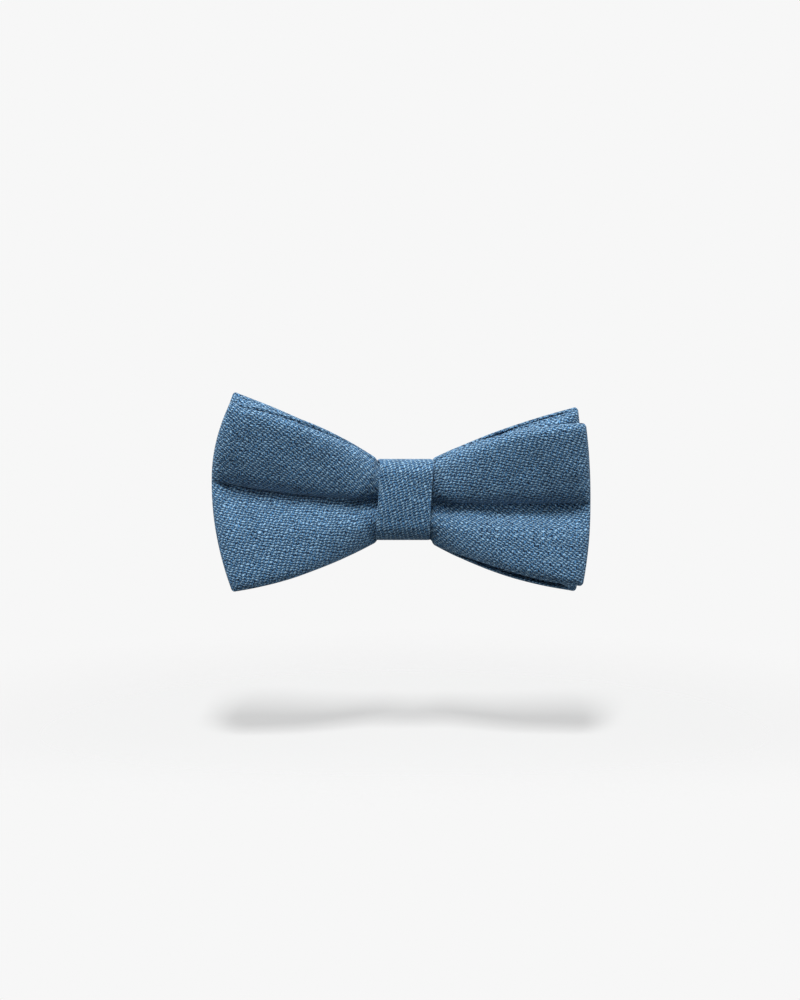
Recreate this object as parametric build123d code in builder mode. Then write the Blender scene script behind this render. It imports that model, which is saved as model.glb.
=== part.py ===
"""Pre-tied two-layer bow tie with a sprung two-jaw collar clip behind its knot. Millimetres.

+X is to the right as seen from the front, +Y points back towards the wearer's collar, and +Z is up.
The origin is the centre of the clip plate's rear face, the face that the collar lies against.
"""

import os
from collections import namedtuple
from math import radians, sin

from build123d import *

# ---------------------------------------------------------------- driving dimensions

# knot
KNOT_WIDTH = 17.5  # along X
KNOT_HEIGHT = 25.8  # along Z
KNOT_DEPTH = 15.3  # along Y
KNOT_CORNER_R = 5.0  # outer corner, seen from the side
BAND_PLY_T = 0.45  # one thickness of cloth in the knot band
BAND_INTERLINING_T = 0.4
BAND_HEM = 1.5  # how far the band's interlining stops short of the band's edges
BAND_JOINT_ABOVE_PLATE = 1.5  # height of the joint of the band's two ends over the clip plate
BAND_JOINT_GAP = 0.3

# bows: each is a flat tube of cloth over an interlining, closed into a loop
PLY_T = 0.55
INTERLINING_T = 0.6
HEM = 3.0  # how far a bow's interlining stops short of its long edges
BOW_GAP = 0.4  # between the two bows where they are deepest
REAR_BOW_CLEARANCE = 0.7  # between the rear bow and the plane of the plate's front face

# One wing of a bow seen from the front. Its fold is at x = span and its corners are at z = top and
# z = -bottom, corner_inset short of the span. Its long edges bow outwards by top_sag and bottom_sag.
Wing = namedtuple("Wing", "span top bottom corner_inset top_sag bottom_sag")
FRONT_LEFT_WING = Wing(
    span=61.2, top=30.6, bottom=28.7, corner_inset=6.4, top_sag=3.1, bottom_sag=2.2
)
FRONT_RIGHT_WING = Wing(
    span=58.9, top=24.5, bottom=27.5, corner_inset=1.9, top_sag=2.6, bottom_sag=2.7
)
REAR_LEFT_WING = Wing(
    span=60.0, top=34.4, bottom=27.5, corner_inset=6.3, top_sag=1.2, bottom_sag=2.2
)
REAR_RIGHT_WING = Wing(
    span=57.2, top=29.6, bottom=29.3, corner_inset=2.8, top_sag=2.4, bottom_sag=2.5
)

# A bow: its wings by side, and half its depth at the belly and where the tips round off.
Bow = namedtuple("Bow", "wings belly_half_depth tip_half_depth")
FRONT_BOW = Bow(
    wings={-1: FRONT_LEFT_WING, 1: FRONT_RIGHT_WING}, belly_half_depth=5.0, tip_half_depth=3.4
)
REAR_BOW = Bow(
    wings={-1: REAR_LEFT_WING, 1: REAR_RIGHT_WING}, belly_half_depth=4.8, tip_half_depth=3.3
)
BELLY_X = 36.0  # where both bows are deepest
TIP_LENGTH = 3.0  # length over which a loop rounds off at its tip
TIP_TAPER = 0.25  # slope at which a loop's panels draw together towards its tip
END_BULGE = 0.5  # how far the curved end of the outline stands past the fold at mid height

# threads
BINDING_THREAD_D = 0.7  # wound round both bows under the knot band
BINDING_TURNS = 9
BINDING_GAP = 0.05  # between neighbouring turns
SEAM_THREAD_D = 0.35
STITCH_LENGTH = 2.4
STITCH_COUNT = 5
STITCH_PITCH = 3.2
SEAM_FROM_BAND_EDGE = 1.8
SEWING_BUNDLE_W = 1.2  # the strands that sew the clip plate to the knot band
SEWING_BUNDLE_T = 0.6

# collar clip
PLATE_T = 0.7
PLATE_LENGTH = 58.0
PLATE_HEIGHT = 11.0
PLATE_END_R = 3.0
SEWING_HOLE_CLEARANCE = 0.2  # round a bundle of strands
SEWING_HOLE_SPACING_X = 4.4
SEWING_HOLE_SPACING_Z = 6.0
PIVOT_X = 14.0
PIVOT_Y = 2.9
EAR_FOOT_LENGTH = 6.4
EAR_MARGIN = 1.15  # of metal round a pin
PIN_D = 1.5
PIN_CLEARANCE = 0.05  # on the radius, in the jaw's flanges
PIN_HEAD_RIM = 0.45  # how far a pin's head stands out round its shank
PIN_HEAD_T = 0.5
JAW_T = 0.6
JAW_BEND_R = 1.2
JAW_SIDE_CLEARANCE = 0.25  # between a jaw's flange and the plate's ear
JAW_CORNER_R = 1.6
TAB_REACH = 9.8  # from the pivot to the end of the thumb tab, along X
TAB_LIFT = 4.1  # of the tab's end above the pivot
TAB_HOLE_D = 2.2
TAB_BEND_BACK = 3.5  # from the pivot towards the tab, where the tab bends up
TAB_BEND_RISE = 0.6  # of that bend above the web over the pin
WEB_BEND_AHEAD = 2.5  # from the pivot towards the grip, where the web bends down
FLANGE_BACK = 3.0  # from the pivot to where a flange meets the tab
FLANGE_BACK_RISE = 0.5
FLANGE_AHEAD = 5.0  # from the pivot to where a flange meets the sloping web
FLANGE_AHEAD_DROP = 1.2
SPRING_TO_WEB = 0.4  # between the coil and the jaw's web
GRIP_START = 10.0  # from the pivot to the flat of the grip, along X
GRIP_END = 15.2
LIP_LENGTH = 1.0  # of the outer lip, which guides the collar in
LIP_LIFT = 0.75
PAD_T = 1.0
PAD_CLEARANCE = 0.15  # between the closed pad and the plate
PAD_MARGIN = 0.5  # between the pad and the ends of the grip
PAD_SIDE_MARGIN = 0.35  # between the pad and the long edges of the jaw
PAD_GROOVE_R = 0.3
PAD_GROOVES = 3
PAD_GROOVE_PITCH = 1.1

# torsion springs
SPRING_WIRE_D = 0.7
SPRING_PIN_CLEARANCE = 0.25
SPRING_COIL_GAP = 0.04
SPRING_FULL_TURNS = 4
FIXED_LEG_SLOPE = 8.7  # degrees, down to the plate
MOVING_LEG_SLOPE = 12.0  # degrees, up to the thumb tab
MOVING_LEG_LENGTH = 6.2

OVERSHOOT = 2.0  # how far a cutting shape runs past what it cuts
FAR = 100.0  # past the whole tie, for cutting prisms

# ---------------------------------------------------------------- sizes that follow

PANEL_T = 2 * PLY_T + INTERLINING_T
BAND_T = 2 * BAND_PLY_T + BAND_INTERLINING_T
ROOT_X = KNOT_WIDTH / 2
BAND_BACK_Y = -PLATE_T
BAND_FRONT_Y = BAND_BACK_Y - KNOT_DEPTH
KNOT_CENTRE_Y = (BAND_BACK_Y + BAND_FRONT_Y) / 2
ROOT_HALF_HEIGHT = KNOT_HEIGHT / 2 - BAND_T
ROOT_HALF_DEPTH = (KNOT_DEPTH - 2 * BAND_T) / 4
REAR_ROOT_Y = KNOT_CENTRE_Y + ROOT_HALF_DEPTH
FRONT_ROOT_Y = KNOT_CENTRE_Y - ROOT_HALF_DEPTH
REAR_BELLY_Y = BAND_BACK_Y - REAR_BOW_CLEARANCE - REAR_BOW.belly_half_depth
FRONT_BELLY_Y = (
    REAR_BELLY_Y - REAR_BOW.belly_half_depth - BOW_GAP - FRONT_BOW.belly_half_depth
)
ROOT_INSET = BINDING_THREAD_D + PLY_T  # keeps a bow's interlining clear of the binding thread
BINDING_PITCH = BINDING_THREAD_D + BINDING_GAP
BINDING_WIDTH = (BINDING_TURNS - 1) * BINDING_PITCH + BINDING_THREAD_D
BAND_JOINT_Z = PLATE_HEIGHT / 2 + BAND_JOINT_ABOVE_PLATE
SEWING_HOLE_D = SEWING_BUNDLE_W + 2 * SEWING_HOLE_CLEARANCE
EAR_R = PIN_D / 2 + EAR_MARGIN
EAR_INNER_Z = PLATE_HEIGHT / 2 - PLATE_T
FLANGE_OUTER_Z = EAR_INNER_Z - JAW_SIDE_CLEARANCE
SPRING_MEAN_R = PIN_D / 2 + SPRING_PIN_CLEARANCE + SPRING_WIRE_D / 2
SPRING_PITCH = SPRING_WIRE_D + SPRING_COIL_GAP
SHOULDER_LIFT = SPRING_MEAN_R + SPRING_WIRE_D / 2 + SPRING_TO_WEB + JAW_T / 2
PAD_HEIGHT = 2 * (FLANGE_OUTER_Z - PAD_SIDE_MARGIN)
GRIP_Y = PAD_CLEARANCE + PAD_T + JAW_T / 2
PIN_HALF_LENGTH = PLATE_HEIGHT / 2 + PIN_HEAD_T


# ---------------------------------------------------------------- shared shapes


def spaced(count, pitch):
    """Evenly spaced positions, centred on zero."""
    return [(number - (count - 1) / 2) * pitch for number in range(count)]


def bow_block(bow, root_y, belly_y, inset, root_inset, edge_inset):
    """A bow's envelope, taken in by inset round its loop and by edge_inset at its long edges."""
    half_root = ROOT_HALF_DEPTH - root_inset
    half_belly = bow.belly_half_depth - inset
    half_tip = bow.tip_half_depth - inset
    root_z = ROOT_HALF_HEIGHT - edge_inset
    with BuildPart() as block:
        # seen from above: straight through the knot, deepest at the belly, round at the tips
        with BuildSketch(Plane.XY.offset(-FAR)):
            with BuildLine():
                for panel in (-1, 1):
                    root_panel_y = root_y + panel * half_root
                    Line((-ROOT_X, root_panel_y), (ROOT_X, root_panel_y))
                for side, wing in bow.wings.items():
                    tip_x = side * (wing.span - inset)
                    shoulder_x = side * (wing.span - TIP_LENGTH)
                    for panel in (-1, 1):
                        Spline(
                            (side * ROOT_X, root_y + panel * half_root),
                            (side * BELLY_X, belly_y + panel * half_belly),
                            (shoulder_x, belly_y + panel * half_tip),
                            tangents=[(side, 0), (side, -panel * TIP_TAPER)],
                        )
                    ThreePointArc(
                        (shoulder_x, belly_y - half_tip),
                        (tip_x, belly_y),
                        (shoulder_x, belly_y + half_tip),
                    )
            make_face()
        extrude(amount=2 * FAR)
        # seen from the front: the bow outline
        with BuildSketch(Plane.XZ):
            with BuildLine():
                for edge in (-1, 1):
                    Line((-ROOT_X, edge * root_z), (ROOT_X, edge * root_z))
                for side, wing in bow.wings.items():
                    end_x = side * (wing.span - inset + END_BULGE)
                    corner_x = side * (wing.span - inset - wing.corner_inset)
                    middle_x = (side * ROOT_X + corner_x) / 2
                    top = wing.top - edge_inset
                    bottom = edge_inset - wing.bottom
                    ThreePointArc(
                        (side * ROOT_X, root_z),
                        (middle_x, (root_z + top) / 2 + wing.top_sag),
                        (corner_x, top),
                    )
                    ThreePointArc(
                        (corner_x, top), (end_x, (top + bottom) / 2), (corner_x, bottom)
                    )
                    ThreePointArc(
                        (corner_x, bottom),
                        (middle_x, (bottom - root_z) / 2 - wing.bottom_sag),
                        (side * ROOT_X, -root_z),
                    )
            make_face()
        extrude(amount=FAR, both=True, mode=Mode.INTERSECT)
    return block.part


def bow_interlining(bow, root_y, belly_y):
    """The stiffening strip inside a bow's tube of cloth, a closed loop of even thickness."""
    inner = PLY_T + INTERLINING_T
    with BuildPart() as strip:
        add(bow_block(bow, root_y, belly_y, PLY_T, ROOT_INSET, HEM))
        add(
            bow_block(bow, root_y, belly_y, inner, ROOT_INSET + INTERLINING_T, -OVERSHOOT),
            mode=Mode.SUBTRACT,
        )
    return strip.part


def bow_hollows(bow, root_y, belly_y):
    """The air inside a bow's two loops, open at the top and the bottom."""
    root_inset = ROOT_INSET + INTERLINING_T + PLY_T
    with BuildPart() as hollows:
        add(bow_block(bow, root_y, belly_y, PANEL_T, root_inset, -OVERSHOOT))
        Box(2 * (ROOT_X + PANEL_T), FAR, FAR, mode=Mode.SUBTRACT)
    return hollows.part


def knot_section(inset):
    """The knot seen from the side, taken in by inset, drawn in local Y and Z."""
    with BuildSketch() as section:
        with Locations((KNOT_CENTRE_Y, 0)):
            RectangleRounded(
                KNOT_DEPTH - 2 * inset, KNOT_HEIGHT - 2 * inset, KNOT_CORNER_R - inset
            )
    return section.sketch


def knot_ring(outer_inset, inner_inset, width):
    """A ring round the knot between two insets, of that width along X."""
    with BuildPart() as ring:
        with BuildSketch(Plane.YZ):
            add(knot_section(outer_inset))
            add(knot_section(inner_inset), mode=Mode.SUBTRACT)
        extrude(amount=width / 2, both=True)
    return ring.part


def band_joint_slot(width):
    """The gap between the band's two ends, behind the knot."""
    with BuildPart() as slot:
        with Locations((0, BAND_BACK_Y, BAND_JOINT_Z)):
            Box(KNOT_WIDTH, 2 * BAND_T, width)
    return slot.part


def seam_stitches(back_y):
    """The stitches that close a bow's loop, let into the cloth of its back panel."""
    seam_x = ROOT_X - SEAM_FROM_BAND_EDGE
    with BuildPart() as row:
        with Locations(
            [
                (seam_x, back_y - SEAM_THREAD_D / 2, stitch_z)
                for stitch_z in spaced(STITCH_COUNT, STITCH_PITCH)
            ]
        ):
            Box(SEAM_THREAD_D, SEAM_THREAD_D, STITCH_LENGTH)
    return row.part


def bow_shell(bow, root_y, belly_y, interlining, stitches):
    """A bow's cloth: its envelope without its hollows, its interlining and what the knot takes."""
    with BuildPart() as shell:
        add(bow_block(bow, root_y, belly_y, 0, 0, 0))
        add(bow_hollows(bow, root_y, belly_y), mode=Mode.SUBTRACT)
        add(knot_surround, mode=Mode.SUBTRACT)
        add(binding_recess, mode=Mode.SUBTRACT)
        add(interlining, mode=Mode.SUBTRACT)
        add(stitches, mode=Mode.SUBTRACT)
    return shell.part


# Everything outside the knot band's inner face, over the band's width.
with BuildPart() as knot_surround_builder:
    Box(KNOT_WIDTH, FAR, FAR)
    with BuildSketch(Plane.YZ):
        add(knot_section(BAND_T))
    extrude(amount=KNOT_WIDTH / 2, both=True, mode=Mode.SUBTRACT)
knot_surround = knot_surround_builder.part
binding_recess = knot_ring(BAND_T, BAND_T + BINDING_THREAD_D, BINDING_WIDTH)

os.makedirs("parts", exist_ok=True)

# ---------------------------------------------------------------- rear bow

with BuildPart() as rear_bow_interlining:
    add(bow_interlining(REAR_BOW, REAR_ROOT_Y, REAR_BELLY_Y))
rear_bow_interlining.part.label = "rear_bow_interlining"
export_step(rear_bow_interlining.part, "parts/rear_bow_interlining.step")

with BuildPart() as rear_bow_end_stitches:
    add(seam_stitches(REAR_ROOT_Y + ROOT_HALF_DEPTH))
rear_bow_end_stitches.part.label = "rear_bow_end_stitches"
export_step(rear_bow_end_stitches.part, "parts/rear_bow_end_stitches.step")

with BuildPart() as rear_bow_shell:
    add(
        bow_shell(
            REAR_BOW,
            REAR_ROOT_Y,
            REAR_BELLY_Y,
            rear_bow_interlining.part,
            rear_bow_end_stitches.part,
        )
    )
rear_bow_shell.part.label = "rear_bow_shell"
export_step(rear_bow_shell.part, "parts/rear_bow_shell.step")

# ---------------------------------------------------------------- front bow

with BuildPart() as front_bow_interlining:
    add(bow_interlining(FRONT_BOW, FRONT_ROOT_Y, FRONT_BELLY_Y))
front_bow_interlining.part.label = "front_bow_interlining"
export_step(front_bow_interlining.part, "parts/front_bow_interlining.step")

with BuildPart() as front_bow_end_stitches:
    add(seam_stitches(FRONT_ROOT_Y + ROOT_HALF_DEPTH))
front_bow_end_stitches.part.label = "front_bow_end_stitches"
export_step(front_bow_end_stitches.part, "parts/front_bow_end_stitches.step")

with BuildPart() as front_bow_shell:
    add(
        bow_shell(
            FRONT_BOW,
            FRONT_ROOT_Y,
            FRONT_BELLY_Y,
            front_bow_interlining.part,
            front_bow_end_stitches.part,
        )
    )
front_bow_shell.part.label = "front_bow_shell"
export_step(front_bow_shell.part, "parts/front_bow_shell.step")

# ---------------------------------------------------------------- binding thread and knot

# The thread is wound round both bows, under the knot band, and holds their pleats in.
with BuildPart() as binding_thread:
    for turn_x in spaced(BINDING_TURNS, BINDING_PITCH):
        turn_face = knot_section(BAND_T + BINDING_THREAD_D / 2).face()
        turn_path = Plane.YZ.offset(turn_x).from_local_coords(turn_face.outer_wire())
        with BuildSketch(Plane(turn_path @ 0, z_dir=turn_path % 0)):
            Circle(BINDING_THREAD_D / 2)
        sweep(path=turn_path)
binding_thread.part.label = "binding_thread"
export_step(binding_thread.part, "parts/binding_thread.step")

with BuildPart() as knot_band_interlining:
    add(
        knot_ring(BAND_PLY_T, BAND_PLY_T + BAND_INTERLINING_T, KNOT_WIDTH - 2 * BAND_HEM)
    )
    add(band_joint_slot(BAND_JOINT_GAP + 2 * BAND_PLY_T), mode=Mode.SUBTRACT)
knot_band_interlining.part.label = "knot_band_interlining"
export_step(knot_band_interlining.part, "parts/knot_band_interlining.step")

with BuildPart() as knot_band:
    add(knot_ring(0, BAND_T, KNOT_WIDTH))
    add(knot_band_interlining.part, mode=Mode.SUBTRACT)
    add(band_joint_slot(BAND_JOINT_GAP), mode=Mode.SUBTRACT)
knot_band.part.label = "knot_band"
export_step(knot_band.part, "parts/knot_band.step")

# Whip stitches across the joint, just above the clip plate.
with BuildPart() as knot_closing_stitches:
    with Locations(
        [
            (stitch_x, BAND_BACK_Y + SEAM_THREAD_D / 2, BAND_JOINT_Z)
            for stitch_x in spaced(STITCH_COUNT, STITCH_PITCH)
        ]
    ):
        Box(SEAM_THREAD_D, SEAM_THREAD_D, STITCH_LENGTH)
knot_closing_stitches.part.label = "knot_closing_stitches"
export_step(knot_closing_stitches.part, "parts/knot_closing_stitches.step")

# ---------------------------------------------------------------- clip plate

with BuildPart() as clip_plate:
    with BuildSketch(Plane.XZ):
        RectangleRounded(PLATE_LENGTH, PLATE_HEIGHT, PLATE_END_R)
        with GridLocations(SEWING_HOLE_SPACING_X, SEWING_HOLE_SPACING_Z, 2, 2):
            Circle(SEWING_HOLE_D / 2, mode=Mode.SUBTRACT)
    extrude(amount=PLATE_T)
    # ears folded back from the long edges carry the hinge pins
    foot_x = EAR_FOOT_LENGTH / 2
    with BuildSketch(Plane.XY.offset(EAR_INNER_Z), Plane.XY.offset(-EAR_INNER_Z - PLATE_T)):
        for side in (-1, 1):
            with Locations((side * PIVOT_X, 0)):
                Polygon(
                    (-foot_x, -PLATE_T),
                    (foot_x, -PLATE_T),
                    (foot_x, 0),
                    (EAR_R, PIVOT_Y),
                    (-EAR_R, PIVOT_Y),
                    (-foot_x, 0),
                    align=None,
                )
            with Locations((side * PIVOT_X, PIVOT_Y)):
                Circle(EAR_R)
                Circle(PIN_D / 2, mode=Mode.SUBTRACT)
    extrude(amount=PLATE_T)
clip_plate.part.label = "clip_plate"
export_step(clip_plate.part, "parts/clip_plate.step")

# Strands bridge each pair of holes and pass through them into the knot band.
with BuildPart() as plate_sewing_threads:
    with BuildSketch(Plane.XZ):
        with GridLocations(0, SEWING_HOLE_SPACING_Z, 1, 2):
            SlotOverall(SEWING_HOLE_SPACING_X + SEWING_BUNDLE_W, SEWING_BUNDLE_W)
    extrude(amount=-SEWING_BUNDLE_T)
    with BuildSketch(Plane.XZ):
        with GridLocations(SEWING_HOLE_SPACING_X, SEWING_HOLE_SPACING_Z, 2, 2):
            Circle(SEWING_BUNDLE_W / 2)
    extrude(amount=PLATE_T)
plate_sewing_threads.part.label = "plate_sewing_threads"
export_step(plate_sewing_threads.part, "parts/plate_sewing_threads.step")

# ---------------------------------------------------------------- jaws

grip_start_x = PIVOT_X + GRIP_START
grip_end_x = PIVOT_X + GRIP_END
tab_end_x = PIVOT_X - TAB_REACH
lip_end_x = grip_end_x + LIP_LENGTH

# A jaw is one bent strip with two flanges turned in round the hinge pin.
with BuildPart() as right_jaw:
    with BuildSketch(Plane.XY.offset(-FLANGE_OUTER_Z)):
        with BuildLine():
            FilletPolyline(
                (tab_end_x, PIVOT_Y + TAB_LIFT),
                (PIVOT_X - TAB_BEND_BACK, PIVOT_Y + SHOULDER_LIFT + TAB_BEND_RISE),
                (PIVOT_X + WEB_BEND_AHEAD, PIVOT_Y + SHOULDER_LIFT),
                (grip_start_x, GRIP_Y),
                (grip_end_x, GRIP_Y),
                (lip_end_x, GRIP_Y + LIP_LIFT),
                radius=JAW_BEND_R,
            )
        trace(line_width=JAW_T)
    extrude(amount=2 * FLANGE_OUTER_Z)
    # round the corners of the strip, and pierce the thumb tab
    with BuildSketch(Plane.XZ):
        with Locations(((tab_end_x + lip_end_x) / 2, 0)):
            RectangleRounded(lip_end_x - tab_end_x + JAW_T, 2 * FLANGE_OUTER_Z, JAW_CORNER_R)
        with Locations((tab_end_x + TAB_HOLE_D, 0)):
            Circle(TAB_HOLE_D / 2, mode=Mode.SUBTRACT)
    extrude(amount=FAR, both=True, mode=Mode.INTERSECT)
    with BuildSketch(
        Plane.XY.offset(FLANGE_OUTER_Z - JAW_T), Plane.XY.offset(-FLANGE_OUTER_Z)
    ):
        with Locations((PIVOT_X, PIVOT_Y)):
            Polygon(
                (-EAR_R, 0),
                (-FLANGE_BACK, SHOULDER_LIFT + FLANGE_BACK_RISE),
                (WEB_BEND_AHEAD, SHOULDER_LIFT),
                (FLANGE_AHEAD, SHOULDER_LIFT - FLANGE_AHEAD_DROP),
                (EAR_R, 0),
                align=None,
            )
            Circle(EAR_R)
            Circle(PIN_D / 2 + PIN_CLEARANCE, mode=Mode.SUBTRACT)
    extrude(amount=JAW_T)
right_jaw.part.label = "right_jaw"
export_step(right_jaw.part, "parts/right_jaw.step")

with BuildPart() as left_jaw:
    mirror(right_jaw.part, about=Plane.YZ)
left_jaw.part.label = "left_jaw"
export_step(left_jaw.part, "parts/left_jaw.step")

# A soft ribbed pad under each grip holds the collar.
with BuildPart() as right_jaw_pad:
    pad_length = GRIP_END - GRIP_START - 2 * PAD_MARGIN
    pad_x = (grip_start_x + grip_end_x) / 2
    with Locations((pad_x, PAD_CLEARANCE + PAD_T / 2, 0)):
        Box(pad_length, PAD_T, PAD_HEIGHT)
    with Locations(
        [(pad_x + offset, PAD_CLEARANCE, 0) for offset in spaced(PAD_GROOVES, PAD_GROOVE_PITCH)]
    ):
        Cylinder(PAD_GROOVE_R, PAD_HEIGHT, mode=Mode.SUBTRACT)
right_jaw_pad.part.label = "right_jaw_pad"
export_step(right_jaw_pad.part, "parts/right_jaw_pad.step")

with BuildPart() as left_jaw_pad:
    mirror(right_jaw_pad.part, about=Plane.YZ)
left_jaw_pad.part.label = "left_jaw_pad"
export_step(left_jaw_pad.part, "parts/left_jaw_pad.step")

# ---------------------------------------------------------------- hinge pins and springs

with BuildPart() as right_hinge_pin:
    with Locations((PIVOT_X, PIVOT_Y, 0)):
        Cylinder(PIN_D / 2, 2 * PIN_HALF_LENGTH)
    with Locations(
        [
            (PIVOT_X, PIVOT_Y, end * (PLATE_HEIGHT / 2 + PIN_HEAD_T / 2))
            for end in (-1, 1)
        ]
    ):
        Cylinder(PIN_D / 2 + PIN_HEAD_RIM, PIN_HEAD_T)
right_hinge_pin.part.label = "right_hinge_pin"
export_step(right_hinge_pin.part, "parts/right_hinge_pin.step")

with BuildPart() as left_hinge_pin:
    mirror(right_hinge_pin.part, about=Plane.YZ)
left_hinge_pin.part.label = "left_hinge_pin"
export_step(left_hinge_pin.part, "parts/left_hinge_pin.step")

# The coil turns about the pin. Its fixed leg rests on the plate and its moving leg lifts the tab.
start_angle = FIXED_LEG_SLOPE - 90
end_angle = 90 - MOVING_LEG_SLOPE
spring_turns = SPRING_FULL_TURNS + (end_angle - start_angle) / 360
coil_height = spring_turns * SPRING_PITCH
fixed_leg_length = (
    PIVOT_Y + SPRING_MEAN_R * sin(radians(start_angle)) - SPRING_WIRE_D / 2
) / sin(radians(FIXED_LEG_SLOPE))

with BuildPart() as right_spring:
    coil = Helix(SPRING_PITCH, coil_height, SPRING_MEAN_R).rotate(Axis.Z, start_angle)
    coil = Pos(PIVOT_X, PIVOT_Y, -coil_height / 2) * coil
    with BuildSketch(Plane(coil @ 0, z_dir=coil % 0)):
        Circle(SPRING_WIRE_D / 2)
    sweep(path=coil, is_frenet=True)
    with BuildSketch(Plane(coil @ 0, z_dir=-(coil % 0))):
        Circle(SPRING_WIRE_D / 2)
    extrude(amount=fixed_leg_length)
    with BuildSketch(Plane(coil @ 1, z_dir=coil % 1)):
        Circle(SPRING_WIRE_D / 2)
    extrude(amount=MOVING_LEG_LENGTH)
right_spring.part.label = "right_spring"
export_step(right_spring.part, "parts/right_spring.step")

with BuildPart() as left_spring:
    mirror(right_spring.part, about=Plane.YZ)
left_spring.part.label = "left_spring"
export_step(left_spring.part, "parts/left_spring.step")
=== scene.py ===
# %% [markdown]
# # A pre-tied bow tie in blue twill
# This lesson finishes a small sewn object: two loops of cloth, gathered at the waist by a wrapped knot,
# with a sprung collar clip behind. The solid model is already built and packed. Here it gets its cloth, its
# folds and its finishes. Every shape is worked out as a grid of points and handed to a mesh in one call.

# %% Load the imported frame
from collections import namedtuple

import bpy
import numpy as np
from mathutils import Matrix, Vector


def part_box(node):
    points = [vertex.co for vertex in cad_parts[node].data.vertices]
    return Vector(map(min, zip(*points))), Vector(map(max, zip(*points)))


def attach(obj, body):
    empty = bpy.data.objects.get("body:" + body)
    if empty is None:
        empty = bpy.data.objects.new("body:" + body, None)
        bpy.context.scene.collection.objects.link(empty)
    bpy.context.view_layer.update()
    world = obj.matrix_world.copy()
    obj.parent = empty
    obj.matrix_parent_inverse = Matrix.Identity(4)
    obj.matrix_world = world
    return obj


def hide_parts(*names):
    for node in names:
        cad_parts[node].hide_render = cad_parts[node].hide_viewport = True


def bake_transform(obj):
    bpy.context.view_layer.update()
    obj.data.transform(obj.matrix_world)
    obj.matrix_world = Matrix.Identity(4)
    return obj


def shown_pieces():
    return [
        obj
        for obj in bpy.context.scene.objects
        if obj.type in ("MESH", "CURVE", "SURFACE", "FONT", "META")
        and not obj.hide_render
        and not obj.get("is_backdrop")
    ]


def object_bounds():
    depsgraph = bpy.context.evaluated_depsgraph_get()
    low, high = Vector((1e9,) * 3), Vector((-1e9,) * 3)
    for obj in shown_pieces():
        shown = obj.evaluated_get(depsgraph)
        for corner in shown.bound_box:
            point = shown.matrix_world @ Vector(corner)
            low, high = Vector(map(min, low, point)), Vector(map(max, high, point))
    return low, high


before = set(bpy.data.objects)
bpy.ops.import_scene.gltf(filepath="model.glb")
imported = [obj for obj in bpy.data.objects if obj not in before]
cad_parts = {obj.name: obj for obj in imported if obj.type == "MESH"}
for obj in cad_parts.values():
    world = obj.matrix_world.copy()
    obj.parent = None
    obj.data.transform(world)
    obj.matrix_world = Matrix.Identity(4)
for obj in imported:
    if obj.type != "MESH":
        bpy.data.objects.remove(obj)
cad_low, cad_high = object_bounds()
MM = 0.001  # metres in a millimetre

# %% [markdown]
# ## Sizes
# The shapes below are thought out in millimetres, because cloth is, and are turned into metres as each mesh
# is made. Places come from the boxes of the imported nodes, so that the cloth fits the model whatever its
# size.


# %% Boxes of the nodes that the cloth replaces
def box_mm(node):
    """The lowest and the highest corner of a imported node, in millimetres."""
    low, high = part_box(node)
    return np.array(low) / MM, np.array(high) / MM


front_low, front_high = box_mm("front_bow_shell")
rear_low, rear_high = box_mm("rear_bow_shell")
band_low, band_high = box_mm("knot_band")
print("front bow from", front_low.round(1), "to", front_high.round(1), "mm")

# %% [markdown]
# ## Small helpers
# A grid of points becomes a mesh by joining each point to its neighbours. A bow is a ring in both
# directions: once round its loop, and once round the thickness of its cloth. Its texture coordinates are
# kept beside the points, one row and one column longer, so that the pattern can run past the place where
# the ring closes.


# %% Smooth steps and closed grids
def smooth_step(low, high, value):
    """0 below low, 1 above high, and 3q^2 - 2q^3 of the share q of the way between."""
    share = np.clip((value - low) / (high - low), 0, 1)
    return share * share * (3 - 2 * share)


def quarter_round(share):
    """A quarter circle's drop: 1 and steep at share 0, falling to 0 and level at share 1 and beyond."""
    return 1 - np.sqrt(1 - (1 - np.clip(share, 0, 1)) ** 2)


def ring_faces(rows, columns, start=0):
    """Quads of a grid closed both ways: point (i, j) joins (i + 1, j) and (i, j + 1), counted round."""
    i, j = np.meshgrid(np.arange(rows), np.arange(columns), indexing="ij")
    ahead_i, ahead_j = (i + 1) % rows, (j + 1) % columns
    corners = [i * columns + j, ahead_i * columns + j, ahead_i * columns + ahead_j, i * columns + ahead_j]
    return np.stack(corners, axis=-1).reshape(-1, 4) + start


def signed_volume(points, faces):
    """Six times the volume inside closed quads: the sum of a . (b x c) over their triangles."""
    a, b, c, d = (points[faces[:, k]] for k in range(4))
    return np.sum(a * np.cross(b, c)) + np.sum(a * np.cross(c, d))


# %% Make a mesh object from arrays
def make_polygons(name, points, corners, counts, uv=None):
    """Makes a mesh object from points in millimetres and faces that may have any number of corners.

    corners lists the point at each face corner, counts is the number of corners of each face, and uv is each
    corner's place in the cloth.
    """
    mesh = bpy.data.meshes.new(name)
    mesh.vertices.add(len(points))
    mesh.vertices.foreach_set("co", (points * MM).astype(np.float32).ravel())
    mesh.loops.add(len(corners))
    mesh.loops.foreach_set("vertex_index", corners.astype(np.int32))
    mesh.polygons.add(len(counts))
    mesh.polygons.foreach_set("loop_start", (np.cumsum(counts) - counts).astype(np.int32))
    mesh.update(calc_edges=True)
    mesh.shade_smooth()
    if uv is not None:
        mesh.uv_layers.new(name="cloth").data.foreach_set("uv", uv.astype(np.float32).ravel())
    mesh.validate()
    piece = bpy.data.objects.new(name, mesh)
    bpy.context.scene.collection.objects.link(piece)
    print(f"{name}: {len(points)} points, {len(counts)} faces")
    return piece


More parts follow.
